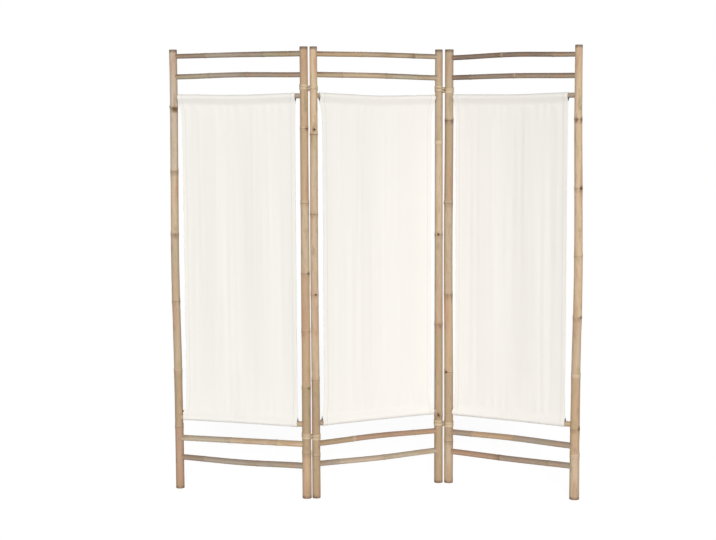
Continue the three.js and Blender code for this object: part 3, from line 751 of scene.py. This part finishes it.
class Finish(Wiring):
    """A material under one Principled shader."""

    def __init__(self, name, **sockets):
        self.material = bpy.data.materials.new(name)
        self.material.use_nodes = True
        super().__init__(self.material.node_tree)
        self.shader = self.tree.nodes["Principled BSDF"]
        for socket, value in sockets.items():
            self.shader.inputs[socket.replace("_", " ")].default_value = value

    def attribute(self, name, out="Fac"):
        """What the mesh keeps on its points under this name."""
        return self.node("ShaderNodeAttribute", {"attribute_name": name}, out=out)

    def noise(self, place, stretch, detail=3, roughness=0.55):
        """Noise over a place that is stretched first, so many lumps to the metre along each axis."""
        stretched = self.node("ShaderNodeVectorMath", {"operation": "MULTIPLY"}, [place, stretch])
        return self.node("ShaderNodeTexNoise", None,
                         {"Vector": stretched, "Scale": 1, "Detail": detail, "Roughness": roughness})

    def ease(self, value, low, high, to_low=0.0, to_high=1.0):
        """The value eased from one range to another, and held at its ends."""
        return self.node("ShaderNodeMapRange", {"interpolation_type": "SMOOTHSTEP"},
                         [value, low, high, to_low, to_high])

    def blend(self, share, below, above, how="MIX"):
        """One colour over another."""
        return self.node("ShaderNodeMix", {"data_type": "RGBA", "blend_type": how, "clamp_result": False},
                         {0: share, 6: below, 7: above}, out=2)

    def shaded(self, colour, shade):
        """The colour, darker or lighter by a number."""
        grey = self.node("ShaderNodeCombineColor", None, [shade, shade, shade])
        return self.blend(1.0, colour, grey, "MULTIPLY")

    def feed(self, **wires):
        """Joins wires to the shader's sockets of these names."""
        for socket, wire in wires.items():
            self.tree.links.new(wire.socket, self.shader.inputs[socket.replace("_", " ")])

    def raise_grain(self, height, strength, distance):
        """Bumps the surface by a height, its distance in millimetres."""
        self.feed(Normal=self.node("ShaderNodeBump", None,
                                   {"Strength": strength, "Distance": distance * MM, "Height": height}))


def bamboo_skin(name, patch, top_shade_share, gloss):
    """Dry bamboo skin: long fibres, clouded tones, and at each node a pale bloom, a dark line or a smudge.
    Given a share of top shade, it is darker along its upper side: painted shade, laid on in patches."""
    finish = Finish(name, IOR=1.45, Specular_IOR_Level=0.1)
    grain = finish.attribute("grain", "Vector")
    tone = finish.attribute("tone", "Color")
    pale, line, smudge = finish.parts(finish.attribute("marks", "Vector"))
    fibre = finish.noise(grain, (1500, 1500, 22), detail=4, roughness=0.62)
    strand = finish.noise(grain, (330, 330, 6))
    cloud = finish.noise(grain, (60, 60, 16), detail=4, roughness=0.6)
    drift = finish.noise(grain, (34, 34, 7), detail=2)
    blush = finish.noise(grain, (48, 48, 11))
    speck = finish.noise(grain, (700, 700, 260), detail=2)
    colour = finish.shaded(tone, 0.66 + 0.22 * fibre + 0.28 * strand + 0.18 * cloud)
    colour = finish.blend(finish.ease(drift, 0.48, 0.70, 0, patch), colour, paint(*REDDISH_PATCH))
    colour = finish.blend(finish.ease(blush, 0.52, 0.72, 0, patch), colour, paint(*GREENISH_PATCH))
    colour = finish.blend(finish.ease(cloud, 0.52, 0.74, 0, patch), colour, paint(*GREY_PATCH))
    colour = finish.blend(finish.ease(speck, 0.66, 0.74, 0, 0.4), colour, paint(*SPECK))
    # Painted shade along the culm's upper side, laid on in patches.
    if top_shade_share:
        height = finish.parts(grain)[0] + 0.006 * strand
        top_shaded = finish.ease(drift + 0.3 * strand, 0.45, 0.75, 0.25, top_shade_share)
        colour = finish.blend(finish.ease(height, 0.001, 0.010) * top_shaded, colour, paint(*PAINTED_TOP_SHADE))
    colour = finish.blend(pale * 0.62, colour, paint(*NODE_BLOOM))
    colour = finish.blend(smudge * finish.ease(cloud, 0.3, 0.6), colour, paint(*NODE_SMUDGE))
    colour = finish.blend(line, colour, paint(*NODE_LINE))
    finish.feed(Base_Color=colour, Roughness=gloss + 0.16 * strand + 0.1 * fibre)
    finish.raise_grain(fibre * 0.6 + strand + cloud * 0.8, 0.35, 0.4)
    return finish.material


def sawn_bamboo():
    """The sawn ends and the bores: pale wood with the dark dots of its vessels, greyed by handling."""
    finish = Finish("sawn bamboo", IOR=1.45)
    grain = finish.attribute("grain", "Vector")
    dots = finish.noise(grain, (900, 900, 60), detail=2)
    cloud = finish.noise(grain, (90, 90, 20))
    colour = finish.blend(finish.ease(cloud, 0.35, 0.7), paint(176, 150, 118), paint(138, 118, 96))
    colour = finish.blend(finish.ease(dots, 0.55, 0.68, 0, 0.7), colour, paint(88, 66, 48))
    finish.feed(Base_Color=colour, Roughness=0.75 + 0.15 * cloud)
    finish.raise_grain(dots, 0.4, 0.5)
    return finish.material


def branch_scar():
    """The heart of a cut branch, dark and rough."""
    finish = Finish("branch scar", IOR=1.4)
    rot = finish.noise(finish.attribute("grain", "Vector"), (900, 900, 500))
    colour = finish.blend(finish.ease(rot, 0.35, 0.65), paint(62, 40, 24), paint(112, 78, 50))
    finish.feed(Base_Color=colour, Roughness=0.8 + 0.15 * rot)
    finish.raise_grain(rot, 0.6, 0.6)
    return finish.material


def cotton(name, colour):
    """Unbleached cotton in plain weave, with slubs, faint creases down the cloth with painted shade in them,
    and stitched hems.
    """
    finish = Finish(name, Sheen_Weight=0.15, Sheen_Roughness=0.5, Specular_IOR_Level=0.2)
    flat = finish.node("ShaderNodeUVMap", {"uv_map": "flat"})
    across, along, _ = finish.parts(flat)
    warp = (across * (2 * math.pi / (WARP_PITCH * MM))).sine()
    weft = (along * (2 * math.pi / (WEFT_PITCH * MM))).sine()
    weave = 0.5 + 0.25 * warp * weft + 0.12 * warp + 0.12 * weft
    slub = finish.noise(flat, (900, 45, 1), detail=2)
    slub_weft = finish.noise(flat, (45, 900, 1), detail=2)
    gather = finish.noise(flat, (7, 1.6, 1), detail=1)
    crease = finish.noise(flat, (52, 2.6, 1), detail=4, roughness=0.6)
    crease = crease * finish.attribute("creased") * finish.ease(gather, 0.38, 0.6, 0.25, 1)
    cloud = finish.noise(flat, (9, 5, 1))
    edge = across.least(CLOTH_WIDTH * MM - across)
    hem_line = finish.ease(abs(edge - STITCH_INSET * MM), *(reach * MM for reach in STITCH_FADE), 1, 0)
    thread = finish.ease((along * (2 * math.pi / (STITCH_PITCH * MM))).sine(), -0.5, 0.1)
    hem_step = finish.ease(edge, *(place * MM for place in HEM_STEP))
    colour = finish.shaded(paint(*colour), 0.955 + 0.03 * weave + 0.02 * slub + 0.015 * cloud)
    # Painted shade in the creases: the cloth darkens where it is creased.
    colour = finish.blend(finish.ease(crease, 0.42, 0.8, 0, 0.11), colour, paint(216, 208, 198))
    colour = finish.blend(hem_line * (1 - thread * 0.6) * 0.36, colour, paint(186, 176, 160))
    finish.feed(Base_Color=colour, Roughness=0.86 + 0.1 * slub)
    height = weave * 0.10 + slub * 0.12 + slub_weft * 0.10 + crease * 0.9
    finish.raise_grain(height + hem_step * -0.3 + hem_line * thread * 0.25, 0.45, 1.1)
    return finish.material


def split_cane():
    """Split cane: glossy outer skin in narrow strips, with fibres along them."""
    finish = Finish("split cane", IOR=1.5)
    place = finish.node("ShaderNodeTexCoord", out="Object")
    fibre = finish.noise(place, (90, 90, 1800), roughness=0.6)
    strip = finish.noise(place, (12, 12, 260), detail=2)
    cloud = finish.noise(place, (70, 70, 90))
    colour = finish.blend(finish.ease(strip, 0.35, 0.65), paint(218, 196, 164), paint(192, 168, 134))
    colour = finish.blend(finish.ease(fibre, 0.5, 0.75, 0, 0.4), colour, paint(150, 126, 96))
    colour = finish.blend(finish.ease(cloud, 0.5, 0.75, 0, 0.4), colour, paint(196, 178, 140))
    finish.feed(Base_Color=colour, Roughness=0.45 + 0.2 * fibre)
    finish.raise_grain(fibre + strip * 2, 0.5, 0.6)
    return finish.material


# ---------------------------------------------------------------- the studio

PHOTO_WIDTH, FOCAL_LENGTH = 716, 1402.1  # in dots
SENSOR_WIDTH = 36
CAMERA_PLACE = (-0.0607, -5.6382, 1.4639)
CAMERA_DIP, CAMERA_ROLL = 5.593, -0.255  # degrees
# The lamps: name, strength, tilt from overhead and turn in degrees.
LAMPS = (("window", 2.5, 71, 2), ("far window", 1.1, 74, 182))
LAMP_ANGLE = 16
ROOM_LIGHT, CEILING_LIGHT, CEILING_HEIGHT = 0.24, 0.08, 0.6
FLOOR_SIZE = 60
FLOOR_GLOW, GLOW_SHARE = 1.16, 0.8  # how white the floor is for the camera


def set_camera():
    """A 70 mm lens 5.6 m in front of the screen, looking a little down."""
    lens = bpy.data.cameras.new("camera")
    lens.sensor_width = SENSOR_WIDTH
    lens.sensor_fit = "HORIZONTAL"
    lens.lens = FOCAL_LENGTH / PHOTO_WIDTH * SENSOR_WIDTH
    lens.clip_end = 200
    camera = bpy.data.objects.new("camera", lens)
    camera.matrix_world = (Matrix.Translation(CAMERA_PLACE)
                           @ Matrix.Rotation(math.radians(90 - CAMERA_DIP), 4, "X")
                           @ Matrix.Rotation(math.radians(CAMERA_ROLL), 4, "Z"))
    bpy.context.scene.collection.objects.link(camera)
    bpy.context.scene.camera = camera


def light_screen():
    """A broad soft lamp in front and a weaker one behind, in a white room with a dimmer ceiling."""
    for name, energy, tilt, turn in LAMPS:
        sun = bpy.data.lights.new(name, "SUN")
        sun.energy = energy
        sun.angle = math.radians(LAMP_ANGLE)
        lamp = bpy.data.objects.new(name, sun)
        lamp.rotation_euler = Euler((math.radians(tilt), 0, math.radians(turn)))
        bpy.context.scene.collection.objects.link(lamp)

    world = bpy.data.worlds.new("room")
    bpy.context.scene.world = world
    world.use_nodes = True
    wiring = Wiring(world.node_tree)
    _, _, height = wiring.parts(wiring.node("ShaderNodeTexCoord", out="Generated"))
    light = wiring.node("ShaderNodeMapRange", None, [height, 0, CEILING_HEIGHT, ROOM_LIGHT, CEILING_LIGHT])
    room = world.node_tree.nodes["Background"]
    room.inputs["Color"].default_value = WHITE
    wiring.tree.links.new(light.socket, room.inputs["Strength"])
    backdrop = wiring.node("ShaderNodeBackground", None, {"Color": WHITE, "Strength": 1})
    seen = wiring.ray("Camera") + (wiring.ray("Glossy") + wiring.ray("Transmission"))
    wiring.show(seen.least(1), Wire(wiring, room.outputs[0]), backdrop, "World Output")


def lay_floor():
    """A pale floor that keeps the screen's soft shadow."""
    clear_bench()
    bpy.ops.mesh.primitive_plane_add(size=FLOOR_SIZE, location=(0, 0, 0))
    floor = bpy.context.object
    floor.name = "floor"
    finish = Finish("pale floor", Base_Color=(0.86, 0.86, 0.86, 1), Roughness=0.9, Specular_IOR_Level=0)
    glow = finish.node("ShaderNodeEmission", None, {"Strength": FLOOR_GLOW})
    finish.show(finish.ray("Camera") * GLOW_SHARE, Wire(finish, finish.shader.outputs[0]), glow,
                "Material Output")
    floor.data.materials.append(finish.material)


# ---------------------------------------------------------------- the screen

def belongs(piece, node, body):
    """Attaches the piece to the body that it moves with, and hides the CAD part that it stands for."""
    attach(piece, body)
    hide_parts(node)


def build_screen():
    """Makes every piece, stands the posts, rails and cloths in their panels, attaches each piece to its body
    and hides the CAD part that it stands for.
    """
    sawn, scar, cane = sawn_bamboo(), branch_scar(), split_cane()
    post_finishes = (bamboo_skin("bamboo post skin", 0.5, 0, 0.5), sawn, scar)
    # The top and second rungs get painted shade along their upper sides, the lower rungs a little of it, the
    # rods none.
    top_shaded = bamboo_skin("stained bamboo rung skin", 0.45, 0.6, 0.55)
    plain = bamboo_skin("bamboo rung skin", 0.45, 0.25, 0.55)
    rod = bamboo_skin("bamboo rod skin", 0.3, 0, 0.55)
    rail_skins = {"top_rung": top_shaded, "second_rung": top_shaded, "third_rung": plain, "bottom_rung": plain,
                  "upper_rod": rod, "lower_rod": rod}
    cotton_finish = cotton("cotton cloth", (248, 245, 239))
    # A dark cotton for the pockets' inner faces: painted shade inside the pockets.
    pocket_shade = cotton("cotton with painted pocket shade", (112, 106, 96))
    chance = random.Random(7)
    for side in STANDS:
        body = f"{side}_panel"
        for name in POSTS[side]:
            post = stand_in_panel(make_post(side, name, post_finishes, chance), side)
            belongs(post, name, body)
        for row in ROW_HEIGHT:
            rail = stand_in_panel(make_rail(side, row, (rail_skins[row], sawn), chance), side)
            belongs(rail, f"{side}_{row}", body)
        cloth = stand_in_panel(make_cloth(side, cotton_finish, pocket_shade, chance), side)
        belongs(cloth, f"{side}_fabric", body)
    for node in STRAPS:
        belongs(make_strap(node, cane), node, node.split("_")[0] + "_straps")


set_camera()
light_screen()
lay_floor()
build_screen()
bpy.context.scene.view_settings.view_transform = "Standard"
clear_bench()
